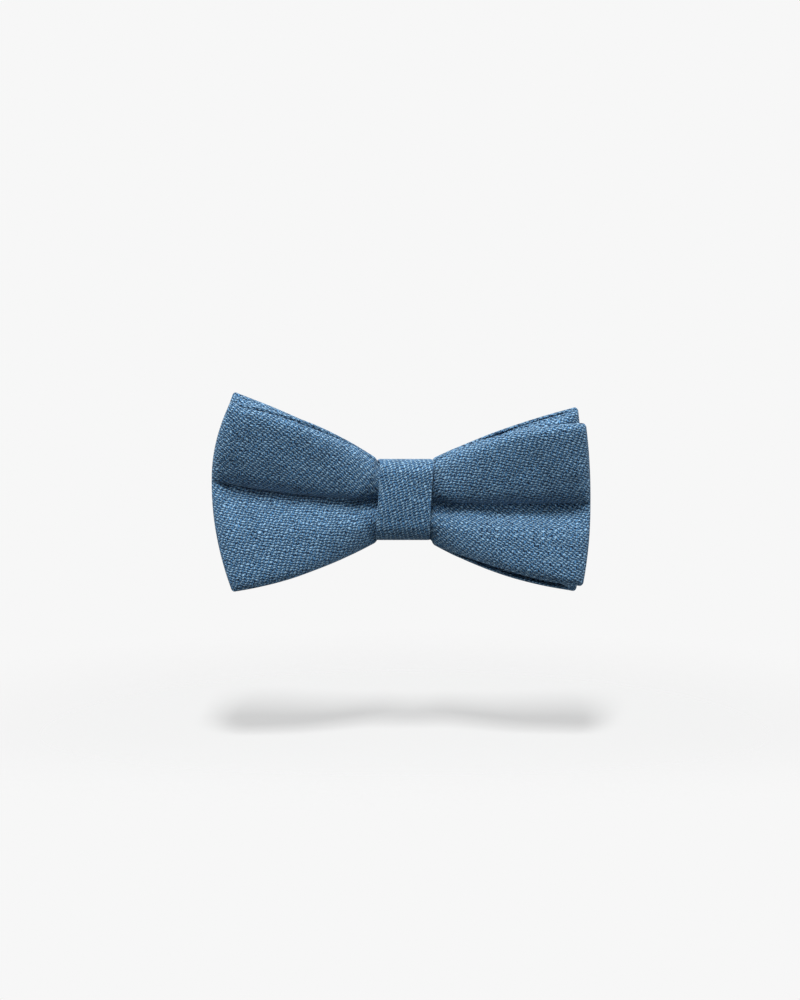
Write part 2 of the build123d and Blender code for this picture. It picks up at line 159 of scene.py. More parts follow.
def make_piece(name, points, quads, uv=None):
    """Makes a mesh object whose faces are all quads."""
    return make_polygons(name, points, quads.ravel(), np.full(len(quads), 4), uv)


# %% [markdown]
# ## The outline of a wing
# Each bow has two wings. Seen from the front, a wing is a trapezium with curved sides: it leaves the knot,
# widens to two corners, and ends in a fold that bulges a little. Hand folding leaves the four wings
# different, so each has its own numbers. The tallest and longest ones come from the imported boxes.

# %% The four wings
Wing = namedtuple("Wing", "side span top bottom top_inset bottom_inset top_sag bottom_sag crease")

KNOT_HALF_HEIGHT = band_high[2]
ROOT_X = band_high[0]  # where the wings leave the knot band

# crease: heights of the pleat at the knot, half way along and at the tip
LEFT_CREASE, RIGHT_CREASE = (-0.1, 1.8, 6.2), (-1.0, -1.2, -0.8)
FRONT_WINGS = {
    -1: Wing(-1, -front_low[0], front_high[2] + 0.6, -front_low[2], 5.6, 6.3, 3.3, 2.3, LEFT_CREASE),
    1: Wing(1, front_high[0], front_high[2] - 6.1, -front_low[2] - 1.7, 1.6, 2.4, 2.7, 1.5, RIGHT_CREASE),
}
REAR_WINGS = {
    -1: Wing(-1, -rear_low[0], rear_high[2], -rear_low[2] - 1.8, 5.0, 6.1, 1.4, 2.3, LEFT_CREASE),
    1: Wing(1, rear_high[0], rear_high[2] - 4.8, -rear_low[2], 1.9, 2.3, 1.4, 2.5, RIGHT_CREASE),
}
for wing in (*FRONT_WINGS.values(), *REAR_WINGS.values()):
    print(f"wing: {wing.span:.1f} mm long, {wing.top + wing.bottom:.1f} mm high at its corners")


# %% Edges, end and pleat of a wing
KNOT_BULGE = {-1: 0.5, 1: 1.4}  # how far the bottom edge swells below the knot just beside it


def edge_height(corner, sag, along, bulge=0.0):
    """Height of a long edge: a straight rise from the knot to the corner, plus a parabola as high as sag."""
    start = KNOT_HALF_HEIGHT + bulge
    return start + (corner - start) * along + 4 * sag * along * (1 - along)


def crease_height(wing, along):
    """Height of the pleat: a parabola through its heights at the knot, half way and at the tip."""
    knot, middle, tip = wing.crease
    ends = knot * (1 - along) * (1 - 2 * along) + tip * along * (2 * along - 1)
    return ends + middle * 4 * along * (1 - along)


def end_reach(wing, across):
    """How far the end reaches at each height: the span, less the corner's inset times the height squared."""
    return wing.span - np.where(across > 0, wing.top_inset, wing.bottom_inset) * across**2


# %% [markdown]
# ## Depth: four panels, one behind the other
# Seen from above, the tie is four panels of cloth: the rear and front panel of each bow. They are pinched
# together in the knot and swell out beside it. The two panels that face each other between the bows swell
# by the same rule, so they can't cross.

# %% Depths of the panels at the knot and at the belly
Panel = namedtuple("Panel", "knot_y belly_y swell")

BELLY_X = 34.0  # where the loops are deepest
SLOW_SWELL, QUICK_SWELL = 1.6, 1.4
BAND_T = 1.3
CLEARANCE = 0.1
core_front_y = band_low[1] + BAND_T + CLEARANCE
core_back_y = band_high[1] - BAND_T - CLEARANCE
core_middle_y = (core_front_y + core_back_y) / 2
between_y = rear_low[1] + 0.1

REAR_BOW_BACK = Panel(core_back_y, rear_high[1] - 0.1, SLOW_SWELL)
REAR_BOW_FRONT = Panel(core_middle_y + CLEARANCE / 2, between_y, SLOW_SWELL)
FRONT_BOW_BACK = Panel(core_middle_y - CLEARANCE / 2, between_y - 0.4, SLOW_SWELL)
FRONT_BOW_FRONT = Panel(core_front_y, front_low[1] + 1.2, QUICK_SWELL)
print(f"depth at the belly: {REAR_BOW_BACK.belly_y - FRONT_BOW_FRONT.belly_y:.1f} mm")

THREAD_RECESS = 0.75  # the binding thread sinks the cloth by this much in the middle of the knot
THREAD_HALF_WIDTH = 3.8


def panel_depth(panel, x):
    """Depth of a panel: from its knot depth to its belly depth as 1 - (1 - q)^swell of the share q of the
    way."""
    share = np.clip((x - ROOT_X) / (BELLY_X - ROOT_X), 0, 1)
    return panel.knot_y + (panel.belly_y - panel.knot_y) * (1 - (1 - share) ** panel.swell)


# %% [markdown]
# ## The pleat and the rolled edges
# The cloth is wider than the knot, so it is folded in at mid height. Next to the knot the fold is a sharp,
# deep crease between two round lobes, and the long edges roll back. Towards the tips the crease opens into
# a soft valley, and the corners stand forward of it. The upper lobe stands proud and shades the lower one.

# %% Relief of a panel
# pairs: at the knot and at the tip. A width is a share of the lobe's height
PLEAT_DEPTH = (5.6, 5.2)
UPPER_WIDTH = (0.48, 0.56)  # over which the upper lobe drops into the crease
LOWER_WIDTH = (0.58, 0.48)  # over which the lower lobe comes forward again
ROLL_DEPTH = (3.8, 1.3)  # how far the long edges roll back
ROLL_WIDTH = (0.64, 0.14)
OVERHANG_WIDTH = 0.3  # share of the upper lobe's drop that its tighter half takes
UPPER_STEEP, LEFT_STEEP, RIGHT_STEEP = 0.8, 0.2, 0.3  # shares of the drops that are quarter circles
FADE_FROM, FADE = 0.88, 0.42  # the pleat loses this share of its depth where the loop closes
VALLEY_SLOPE = 0.17  # how steeply the corners stand forward of the middle of the fold
VALLEY_ROUND = 1.5
SOFT_FROM = 0.7  # share of the way to the tip where the crease starts to open
CORNER_ROUND = 0.8  # radius of the corners


def knot_to_tip(pair, near_knot):
    """The first of a pair where the nearness to the knot is 1, the second where it is 0, and even between."""
    return pair[1] + (pair[0] - pair[1]) * near_knot


def relief(side, along, across, pleat, roll):
    """How far a panel is sunk: a crease at mid height plus a roll at each long edge.

    The upper lobe drops into the crease as the mean of two quarter circles, of which the tighter one makes
    it overhang. The lower lobe starts from the same depth and comes forward more slowly, as a quarter
    circle mixed with a smooth step. Each long edge rolls back as another quarter circle. Widths and depths
    change from the knot to the tip.
    """
    height = np.abs(across)
    upper = across > 0
    near_knot = (1 - along) ** 1.5
    sharpness = 1 - smooth_step(SOFT_FROM, 1.0, along)
    depth = knot_to_tip(PLEAT_DEPTH, near_knot) * (1 - FADE * smooth_step(FADE_FROM, 1.0, along))
    upper_width = knot_to_tip(UPPER_WIDTH, near_knot)
    lower_width = knot_to_tip(LOWER_WIDTH, near_knot)
    overhang = quarter_round(height / (OVERHANG_WIDTH * upper_width))
    steep = quarter_round(height / np.where(upper, upper_width, 0.5 * lower_width))
    soft = 1 - smooth_step(0.15, 1, height / lower_width)
    left_share = LEFT_STEEP * (1 + sharpness)
    right_share = RIGHT_STEEP * (1 - smooth_step(0.2, 0.5, along))
    upper_share = UPPER_STEEP + (1 - UPPER_STEEP) * sharpness
    steep_share = np.where(upper, upper_share, left_share if side < 0 else right_share)
    rounded = np.where(upper, (steep + overhang) / 2, steep)
    crease = depth * (rounded * steep_share + soft * (1 - steep_share))
    edge = quarter_round((1 - height) / knot_to_tip(ROLL_WIDTH, near_knot))
    return pleat * crease + roll * knot_to_tip(ROLL_DEPTH, near_knot) * edge


# %% Small unevenness of hand-folded cloth
def ripple(x, z, seed):
    """Gentle unevenness in millimetres: a sum of four sine waves across the cloth with seeded directions."""
    draw = np.random.default_rng(seed)
    total = np.zeros(np.broadcast(x, z).shape)
    for wavelength, height in ((31, 0.10), (19, 0.07), (11, 0.05), (7, 0.03)):
        angle, phase = draw.uniform(0, 2 * np.pi, 2)
        distance = x * np.cos(angle) + z * np.sin(angle)
        total = total + height * np.sin(2 * np.pi * distance / wavelength + phase)
    return total


# %% [markdown]
# ## One whole loop
# A bow's outer surface is a function of two parameters. The first goes once round the loop: along the rear
# panel to the right tip, back along the front panel, and round the left tip. The second climbs from the
# bottom edge to the top edge. At a tip the two panels close on each other like the end of an ellipse, which
# makes the fold.

# %% Positions of a bow's outer surface
ALONG_COUNT = 96  # points along one panel of one wing
LOBE_COUNT = 34  # points up one lobe
FOLD_EXPONENT = 22.0  # a larger number makes the fold at the tips tighter
KNOT_EDGE, KNOT_EDGE_SPREAD, KNOT_EDGE_EXTRA = 0.1, 0.035, 3.5  # where points are packed, and how closely
WAIST_SHRINK = 0.115  # share of its height that the cloth loses under the band
WAIST_FROM, WAIST_TO = ROOT_X - 0.9, ROOT_X + 1.1
LEAST_DEPTH = 3.7  # between the outer faces of a loop's two panels, which are two strips thick there


def stations(count):
    """Shares of a wing's reach from 0 to 1, packed closely at the knot's edge and, as a sine, at the fold."""
    fine = np.linspace(0, 1, 4001)
    density = 1 + KNOT_EDGE_EXTRA * np.exp(-(((fine - KNOT_EDGE) / KNOT_EDGE_SPREAD) ** 2))
    total = np.cumsum(density)
    return np.sin(np.pi / 2 * np.interp(np.linspace(0, 1, count), total / total[-1], fine))


def lobe_steps(count):
    """Heights from -1 to 1 through 0, packed closely at the edges and at the crease by a cosine."""
    half = (1 - np.cos(np.linspace(0, np.pi, count))) / 2
    return np.concatenate([-half[::-1], half[1:]])


def wing_panel(wing, near, far, step, across, pleat, roll, drop, seed):
    """One panel of one wing: near is the panel itself and far the one that it folds on to.

    x is the step times the end's reach. z runs from the crease to the long edges. y is the middle of the
    loop plus half its depth, less the relief, times (1 - step^n)^(1/2), which closes the loop at the tip.
    drop draws the top and the bottom edge in by so many millimetres between the knot and the tip.
    """
    step, across = step[:, None], across[None, :]
    reach = end_reach(wing, across)
    x = step * reach
    along = np.clip((x - ROOT_X) / (reach - ROOT_X), 0, 1)
    waist = 1 - WAIST_SHRINK * (1 - smooth_step(WAIST_FROM, WAIST_TO, x))
    sink = THREAD_RECESS * (1 - smooth_step(THREAD_HALF_WIDTH, THREAD_HALF_WIDTH + 0.8, x))
    from_end = np.clip(1 - (reach - x) / CORNER_ROUND, 0, 1)
    corner = CORNER_ROUND * (1 - np.sqrt(1 - from_end**2))
    between = smooth_step(0, 0.5, along) * (1 - smooth_step(0.9, 1.0, step))
    top = (edge_height(wing.top, wing.top_sag, along) - drop[0] * between) * waist - sink - corner
    hang = edge_height(wing.bottom, wing.bottom_sag, along, KNOT_BULGE[wing.side]) - drop[1] * between
    bottom = -hang * waist + sink + corner
    crease = crease_height(wing, along)
    z = crease + np.where(across > 0, top - crease, crease - bottom) * across
    near_y, far_y = panel_depth(near, x), panel_depth(far, x)
    facing = np.sign(near_y - far_y)
    from_crease = np.hypot(z - crease, VALLEY_ROUND) - VALLEY_ROUND
    middle = (near_y + far_y) / 2 - VALLEY_SLOPE * smooth_step(0, 0.6, along) * from_crease
    half = np.abs(near_y - far_y) / 2 - relief(wing.side, along, across, pleat, roll) - sink
    swell = ripple(x * wing.side, z, seed) * smooth_step(0.0, 0.25, along)
    closest = LEAST_DEPTH - np.abs(near_y - far_y) / 2
    closing = np.sqrt(np.clip(1 - step**FOLD_EXPONENT, 0, 1))
    y = middle + facing * np.maximum(half + swell, closest) * closing
    return np.stack([wing.side * x, y, z], axis=-1)


def bow_surface(wings, back, front, back_look, front_look, drop, seed):
    """A bow's outer surface as a grid: once round the loop, and from the bottom edge to the top edge."""
    step, across = stations(ALONG_COUNT), lobe_steps(LOBE_COUNT)
    parts = []
    for side in (1, -1):
        rear = wing_panel(wings[side], back, front, step, across, *back_look, (0.0, 0.0), seed + side)
        fore = wing_panel(wings[side], front, back, step, across, *front_look, drop[side], seed + 10 + side)
        out_and_back = (rear[:-1], fore[::-1][:-1]) if side > 0 else (fore[:-1], rear[::-1][:-1])
        parts.extend(out_and_back)
    return np.concatenate(parts), across


# %% [markdown]
# ## Thickness
# The strip is a flat tube: a ply of cloth, the interlining, and another ply. Each layer is the outer
# surface moved inwards. The long edges are turned, so each layer ends in a half circle. The cloth has an
# outer skin and an inner skin round the space that the interlining fills, and the interlining fills it.

# %% Layers of the strip
PLY_T, INTERLINING_T = 0.55, 0.6
PANEL_T = 2 * PLY_T + INTERLINING_T
HEM = 3.0
EDGE_COUNT = 9  # points round a turned edge
FIT = 0.02  # gap between the interlining and the cloth round it
print(f"strip: {PANEL_T:.1f} mm thick")


def inward(surface):
    """Unit normals pointing into the loop, level with the ground: the tangent round the loop, turned by 90
    degrees."""
    tangent = np.roll(surface, -1, axis=0) - np.roll(surface, 1, axis=0)
    normal = np.stack([tangent[..., 1], -tangent[..., 0], np.zeros(tangent.shape[:-1])], axis=-1)
    return normal / np.linalg.norm(normal, axis=-1, keepdims=True)


def layer(surface, across, outer, inner, hem):
    """A closed layer between two depths under the outer surface, hem short of the long edges.

    Up the outer face, over the top edge in a half circle, down the inner face and round the bottom edge.
    Heights are drawn in towards the crease so that the half circles still reach the hem line.
    """
    radius = (inner - outer) / 2
    normal = inward(surface)
    crease = surface[:, [LOBE_COUNT - 1], 2]
    extent = np.where(across > 0, surface[:, [-1], 2] - crease, crease - surface[:, [0], 2])
    shrink = np.clip(1 - (radius + hem) / np.maximum(extent, 1), 0.05, 1)
    base = surface.copy()
    base[..., 2] = crease + (surface[..., 2] - crease) * shrink
    outer_face, inner_face = base + outer * normal, base + inner * normal
    turn = np.linspace(-np.pi / 2, np.pi / 2, EDGE_COUNT + 2)[1:-1]
    up = np.array([0.0, 0.0, 1.0])
    edges = []
    for column, lift in ((-1, 1), (0, -1)):
        middle = (outer_face[:, column] + inner_face[:, column]) / 2
        edges.append(
            middle[:, None]
            + radius * np.sin(lift * turn)[None, :, None] * normal[:, [column]]
            + lift * radius * np.cos(turn)[None, :, None] * up
        )
    return np.concatenate([outer_face, edges[0], inner_face[:, ::-1], edges[1]], axis=1)


# %% Places in the cloth
def walked(points, axis):
    """Distance walked along one direction of a grid, starting from 0."""
    steps = np.linalg.norm(np.diff(points, axis=axis), axis=-1)
    return np.concatenate([np.zeros_like(steps.take([0], axis)), np.cumsum(steps, axis=axis)], axis=axis)


def cloth_places(grid):
    """For each face corner, its place in the flat cloth in millimetres.

    u is the length walked round the loop, counted from the middle of the front. v is the length walked
    round the thickness, counted down from the top edge on the upper lobe and up from the bottom edge on the
    lower one. The cloth that the pleat swallows is missing between them, so the pattern breaks only in the
    crease.
    """
    rows = len(grid)
    closed = np.concatenate([grid, grid[:1]], axis=0)
    u = walked(closed, 0)
    u = -(u - u[rows // 2])
    closed = np.concatenate([closed, closed[:, :1]], axis=1)
    u = np.concatenate([u, u[:, :1]], axis=1)
    v = walked(closed, 1)
    crease = LOBE_COUNT - 1
    top = 2 * LOBE_COUNT - 1
    cut_width = np.percentile(v[:, top], 97)
    missing = cut_width - v[:, [top]]
    below, above = v[:, : crease + 1], v[:, crease:] + missing
    starts = np.concatenate([below[:, :-1], above[:, :-1]], axis=1)
    ends = np.concatenate([below[:, 1:], above[:, 1:]], axis=1)
    corner_u = np.stack([u[:-1, :-1], u[1:, :-1], u[1:, 1:], u[:-1, 1:]], axis=-1)
    corner_v = np.stack([starts[:-1], starts[1:], ends[1:], ends[:-1]], axis=-1)
    return np.stack([corner_u, corner_v], axis=-1).reshape(-1, 4, 2)


def reverse(faces, uv):
    """The same faces turned inside out."""
    return faces[:, ::-1], uv[:, ::-1]


def closed_skin(grid, outward=True, start=0):
    """Points, faces and cloth places of a ring of cloth whose faces point outwards, or inwards for a
    lining."""
    points = grid.reshape(-1, 3)
    faces, uv = ring_faces(*grid.shape[:2]), cloth_places(grid)
    if (signed_volume(points, faces) > 0) != outward:
        faces, uv = reverse(faces, uv)
    return points, faces + start, uv


# %% The two bows
Look = namedtuple("Look", "pleat roll")

FRONT_BOW = bow_surface(
    FRONT_WINGS,
    FRONT_BOW_BACK,
    FRONT_BOW_FRONT,
    Look(0.0, 0.0),
    Look(1.0, 1.0),
    drop={-1: (1.3, 0.0), 1: (0.2, 0.0)},
    seed=11,
)
REAR_BOW = bow_surface(
    REAR_WINGS,
    REAR_BOW_BACK,
    REAR_BOW_FRONT,
    Look(0.45, 1.3),
    Look(0.0, 2.2),
    drop={-1: (0.3, 0.0), 1: (1.0, 1.8)},
    seed=42,
)


def make_bow(name, bow):
    """The cloth of a bow, with the hollow for its interlining, and the interlining."""
    surface, across = bow
    outer = closed_skin(layer(surface, across, 0, PANEL_T, 0))
    lining = closed_skin(
        layer(surface, across, PLY_T, PANEL_T - PLY_T, HEM), outward=False, start=len(outer[0])
    )
    cloth = make_piece(name + "_cloth", *(np.concatenate(pair) for pair in zip(outer, lining)))
    filling = layer(surface, across, PLY_T + FIT, PANEL_T - PLY_T - FIT, HEM + FIT)
    stiffener = make_piece(name + "_stiffener", *closed_skin(filling))
    return cloth, stiffener


front_cloth, front_stiffener = make_bow("front_bow", FRONT_BOW)
rear_cloth, rear_stiffener = make_bow("rear_bow", REAR_BOW)

# %% [markdown]
# ## The knot band
# The band is a strip wrapped once round the waist. Its long edges are turned in, so it is rounded there,
# and its two ends meet behind the knot. Folded cloth pushes it out in front, so its face is crowned. It was
# wrapped a little askew, so it leans.

# %% Section and surface of the band
BAND_ROUND = 5.0
BAND_CROWN = 1.3
BAND_LEAN = 0.75
BAND_CONCAVE = 0.35
BAND_RING, BAND_ACROSS = 220, 40
BAND_EDGE_COUNT = 8
BAND_RIPPLE = 0.12  # share of the cloth's unevenness that the band has
EDGE_PULL = 0.35  # how far its long edges turn back in front
closing_low, closing_high = box_mm("knot_closing_stitches")
JOINT_Z = (closing_low[2] + closing_high[2]) / 2
JOINT_HALF_GAP = 0.15


def rounded_section(inset, count):
    """Points in y and z round a rectangle with round corners, from the joint behind the knot round to it.

    Four quarter circles are joined by straight sides, and the points are spread evenly along the whole
    length.
    """
    half_depth = (band_high[1] - band_low[1]) / 2 - inset
    half_height = KNOT_HALF_HEIGHT - inset
    radius = BAND_ROUND - inset
    angle = np.radians(np.linspace(0, 90, 25))
    turns = np.pi / 2 * np.arange(4)
    centre_y, centre_z = half_depth - radius, half_height - radius
    corner_y = [q * centre_y + radius * np.cos(angle + turn) for q, turn in zip((1, -1, -1, 1), turns)]
    corner_z = [q * centre_z + radius * np.sin(angle + turn) for q, turn in zip((1, 1, -1, -1), turns)]
    start = np.array([half_depth]), np.array([min(JOINT_Z + JOINT_HALF_GAP, half_height - radius)])
    finish = start[0], np.array([start[1][0] - 2 * JOINT_HALF_GAP])
    y = np.concatenate([start[0], *corner_y, finish[0]])
    z = np.concatenate([start[1], *corner_z, finish[1]])
    length = np.concatenate([[0], np.cumsum(np.hypot(np.diff(y), np.diff(z)))])
    even = np.linspace(0, length[-1], count)
    return np.interp(even, length, y), np.interp(even, length, z)


def band_layer(outer, inner, hem):
    """A layer of the band between two depths, as a grid along the strip and round its thickness.

    The cross-section of the strip is flat with half circles at its long edges. Each point is then moved:
    forwards by the crown, a cosine of its height, and sideways by the lean and by the concave sides.
    """
    radius = (inner - outer) / 2
    half_width = ROOT_X - hem - radius
    across = np.linspace(-half_width, half_width, BAND_ACROSS)
    turn = np.linspace(-np.pi / 2, np.pi / 2, BAND_EDGE_COUNT + 2)[1:-1]
    edge_x, edge_depth = half_width + radius * np.cos(turn), radius * np.sin(turn)
    x = np.concatenate([across, edge_x, across[::-1], -edge_x])
    level, middle = np.zeros(BAND_ACROSS), (outer + inner) / 2
    depth = np.concatenate([level + outer, middle + edge_depth, level + inner, middle - edge_depth])
    near_y, near_z = rounded_section(0, BAND_RING)
    far_y, far_z = rounded_section(BAND_T, BAND_RING)
    share = depth[None, :] / BAND_T
    y = near_y[:, None] + (far_y - near_y)[:, None] * share
    z = near_z[:, None] + (far_z - near_z)[:, None] * share
    in_front = smooth_step(1.0, -5.0, y)
    crown = BAND_CROWN * np.cos(np.pi / 2 * np.clip(z / KNOT_HALF_HEIGHT, -1, 1))
    edge_pull = EDGE_PULL * smooth_step(0.7, 1.0, np.abs(x) / ROOT_X)[None, :] * (1 - share)
    y = y - in_front * (crown + BAND_RIPPLE * ripple(x[None, :] * 2, z * 2, 5)) + in_front * edge_pull
    concave = 1 - BAND_CONCAVE / ROOT_X * np.cos(np.pi / 2 * z / KNOT_HALF_HEIGHT)
    lean = BAND_LEAN * z / KNOT_HALF_HEIGHT * in_front
    return np.stack([x[None, :] * concave + lean, y + (band_high[1] + band_low[1]) / 2, z], axis=-1)


# %% [markdown]
# The band is open at its two ends, so its mesh is a tube with two flat caps. Each cap is one many-sided
# face, and faces with different numbers of corners go into the mesh through one long list of corners.


# %% Capped tubes
def tube_faces(rows, columns, start=0):
    """Quads along a tube that is closed round its section and open at its ends, rows by columns points."""
    i, j = np.meshgrid(np.arange(rows - 1), np.arange(columns), indexing="ij")
    ahead = (j + 1) % columns
    corners = [i * columns + j, (i + 1) * columns + j, (i + 1) * columns + ahead, i * columns + ahead]
    return np.stack(corners, axis=-1).reshape(-1, 4) + start


def make_capped(name, tubes, uvs=None, faces_inwards=()):
    """Makes one object from tubes given as grids. Each tube's faces point outwards, and its ends are
    capped."""
    points, corners, counts, places, base = [], [], [], [], 0
    for number, grid in enumerate(tubes):
        rows, columns = grid.shape[:2]
        flat = grid.reshape(-1, 3)
        quads = tube_faces(rows, columns)
        closed = np.concatenate([grid, grid[:, :1]], axis=1)
        u, v = np.meshgrid(walked(grid[:, 0], 0), walked(closed[rows // 2], 0), indexing="ij")
        uv = np.stack([u, v], axis=-1)
        quad_uv = np.stack([uv[:-1, :-1], uv[1:, :-1], uv[1:, 1:], uv[:-1, 1:]], axis=2).reshape(-1, 4, 2)
        caps = [np.arange(columns), (rows - 1) * columns + np.arange(columns)[::-1]]
        inside_out = signed_volume(flat - flat.mean(0), quads) < 0
        if inside_out != (number in faces_inwards):
            quads, quad_uv = reverse(quads, quad_uv)
            caps = [cap[::-1] for cap in caps]
        corners += [quads.ravel() + base, *(cap + base for cap in caps)]
        counts += [np.full(len(quads), 4), np.array([columns, columns])]
        places += [quad_uv.reshape(-1, 2), np.zeros((2 * columns, 2))]
        points.append(flat)
        base += len(flat)
    return make_polygons(name, *(np.concatenate(parts) for parts in (points, corners, counts, places)))


# %% The band and its stiffener
BAND_PLY = 0.45
BAND_HEM = 1.5
band_skin = band_layer(0, BAND_T, 0)
band_hollow = band_layer(BAND_PLY, BAND_T - BAND_PLY, BAND_HEM)[3:-3]
band_cloth = make_capped("knot_band_cloth", [band_skin, band_hollow], faces_inwards=(1,))
band_stiffener = make_capped(
    "knot_band_stiffener", [band_layer(BAND_PLY + FIT, BAND_T - BAND_PLY - FIT, BAND_HEM + FIT)[3:-3]]
)

# %% [markdown]
# ## Threads and springs
# Stitches and springs are round wire bent along a path. The path is a row of points, and a circle is set
# square to it at each one. The circle's own directions come from crossing the path with a fixed direction
# that it never follows, so the wire isn't twisted.


# %% Wire along a path
def wire(path, radius, fixed, sides=10):
    """A grid of circles along a path: the centre plus the radius times cosine and sine of two square
    directions."""
    tangent = np.gradient(path, axis=0)
    tangent /= np.linalg.norm(tangent, axis=1, keepdims=True)
    first = np.cross(tangent, fixed)
    first /= np.linalg.norm(first, axis=1, keepdims=True)
    second = np.cross(tangent, first)
    angle = np.linspace(0, 2 * np.pi, sides, endpoint=False)
    ring = np.cos(angle)[None, :, None] * first[:, None] + np.sin(angle)[None, :, None] * second[:, None]
    return path[:, None] + radius * ring


# %% [markdown]
# The springs wrap the hinge pins. One leg rests on the plate and the other lifts the thumb tab. When a jaw
# opens, the coil winds up.

# %% Torsion springs
WIRE_R = 0.35
COIL_R = 1.35
COIL_PITCH = 0.74
FIXED_SLOPE, MOVING_SLOPE = np.radians(8.7), np.radians(12.0)
FULL_TURNS = 4
MOVING_LEG = 6.2


def spring_path(pivot_x, pivot_y):
    """A leg along the coil's tangent, the coil, and another leg: the coil is (r cos a, r sin a, pitch a / 2
    pi)."""
    start = FIXED_SLOPE - np.pi / 2
    finish = np.pi / 2 - MOVING_SLOPE + 2 * np.pi * FULL_TURNS
    angle = np.linspace(start, finish, 260)
    height = (angle - (start + finish) / 2) * COIL_PITCH / (2 * np.pi)
    coil = np.stack([COIL_R * np.cos(angle), COIL_R * np.sin(angle), height], axis=-1)
    coil += (pivot_x, pivot_y, 0)
    first, last = coil[1] - coil[0], coil[-1] - coil[-2]
    first, last = first / np.linalg.norm(first), last / np.linalg.norm(last)
    fixed_length = (coil[0, 1] - WIRE_R) / first[1]
    fixed_leg = coil[0] - np.linspace(fixed_length, 0, 24)[:-1, None] * first
    moving_leg = coil[-1] + np.linspace(0, MOVING_LEG, 20)[1:, None] * last
    return np.concatenate([fixed_leg, coil, moving_leg])


pin_low, pin_high = box_mm("right_hinge_pin")
pivot = (pin_low + pin_high) / 2
right_path = spring_path(pivot[0], pivot[1])
springs = {}
for side, word in ((1, "right"), (-1, "left")):
    springs[word] = make_capped(
        word + "_torsion_spring", [wire(right_path * (side, 1, 1), WIRE_R, np.array([0, 0, 1.0]), sides=14)]
    )

# %% [markdown]
# Whip stitches close the band behind the knot, and two bundles of strands hold the plate on. Each strand
# goes down through a hole, across and down through the next, and lies a little unevenly beside its
# neighbours.

# %% Stitches and strands
STITCH_COUNT = 5
STITCH_R = 0.17


def whip_stitch(x, slant):
    """An arch over the joint: z climbs evenly while y rises and falls as half a sine, and x drifts by the
    slant."""
    share = np.linspace(0, 1, 25)
    z = closing_low[2] + (closing_high[2] - closing_low[2]) * share
    y = band_high[1] - 0.15 + 0.32 * np.sin(np.pi * share)
    return np.stack([x + slant * (share - 0.5), y, z], axis=-1)


stitch_tubes = []
for x in np.linspace(closing_low[0] + 0.2, closing_high[0] - 0.2, STITCH_COUNT):
    for strand in (-0.17, 0.17):
        stitch_tubes.append(wire(whip_stitch(x + strand, 0.7), STITCH_R, np.array([1.0, 0, 0])))
closing_stitches = make_capped("closing_stitches", stitch_tubes)

sewing_low, sewing_high = box_mm("plate_sewing_threads")
HOLE_X, HOLE_Z = 2.2, 3.0
STRAND_R = 0.15
STRAND_COUNT = 4
draw = np.random.default_rng(7)


def strand_path(z, lift):
    """Up from one hole, over and down the other: a flat-topped arch, y = (1 - x^6) of the way up."""
    share = np.linspace(-1, 1, 41)
    low_y = sewing_low[1] + 0.1
    y = low_y + (lift - low_y) * (1 - np.abs(share) ** 6)
    x = HOLE_X * np.sign(share) * np.abs(share) ** 0.7 * (1 + 0.12 * (1 - share**2))
    return np.stack([x, y, np.full(share.shape, z) + 0.08 * np.sin(3 * share + z)], axis=-1)


strand_tubes = []
for side in (-1, 1):
    for z in np.linspace(-0.42, 0.42, STRAND_COUNT):
        strand_tubes.append(
            wire(strand_path(side * HOLE_Z + z, draw.uniform(0.15, 0.4)), STRAND_R, np.array([0, 0, 1.0]))
        )
plate_strands = make_capped("plate_strands", strand_tubes)

# %% [markdown]
# ## Node helpers
# Finishes are small networks of nodes. What several finishes share is kept in node groups, which work out
# only colours, heights and roughness. The shader itself stays in each material, with its constants on its
# sockets.


# %% Nodes, sums and groups
def put(tree, socket, value):
    """Links a socket to another one's output, or gives it a constant."""
    if isinstance(value, bpy.types.NodeSocket):
        tree.links.new(value, socket)
    else:
        socket.default_value = value


def add_node(tree, kind, inputs=None, **settings):
    """A new node with its settings and inputs; returns the node."""
    made = tree.nodes.new(kind)
    for name, value in settings.items():
        setattr(made, name, value)
    for name, value in (inputs or {}).items():
        put(tree, made.inputs[name], value)
    return made


def calc(tree, operation, *values, kind="ShaderNodeMath"):
    """The result of one sum on numbers, such as ADD, MULTIPLY or COSINE."""
    made = add_node(tree, kind, operation=operation)
    for socket, value in zip(made.inputs, values):
        put(tree, socket, value)
    return made.outputs[0]


def calc_vector(tree, operation, *values):
    """The same on vectors, part by part."""
    return calc(tree, operation, *values, kind="ShaderNodeVectorMath")


def remap(tree, value, low, high, to_low, to_high, smooth=False):
    """A number moved from one range to another and held inside it."""
    kind = "SMOOTHSTEP" if smooth else "LINEAR"
    made = add_node(tree, "ShaderNodeMapRange", interpolation_type=kind)
    for socket, number in zip(made.inputs, (value, low, high, to_low, to_high)):
        put(tree, socket, number)
    return made.outputs[0]


def blend_colours(tree, share, first, second, mode="MIX"):
    """Two colours mixed by a share from 0 to 1."""
    made = add_node(tree, "ShaderNodeMix", data_type="RGBA", blend_type=mode)
    put(tree, made.inputs[0], share)
    put(tree, made.inputs[6], first)
    put(tree, made.inputs[7], second)
    return made.outputs[2]


def shaded(tree, colour, shade):
    """A colour times a number."""
    return blend_colours(tree, 1.0, colour, shade, "MULTIPLY")


def noise(tree, vector, scale, detail=2.0, roughness=0.5):
    """Smooth noise from 0 to 1 at each place."""
    given = {"Vector": vector, "Scale": scale, "Detail": detail, "Roughness": roughness}
    return add_node(tree, "ShaderNodeTexNoise", given).outputs["Fac"]


SOCKETS = {"number": "NodeSocketFloat", "colour": "NodeSocketColor", "vector": "NodeSocketVector"}


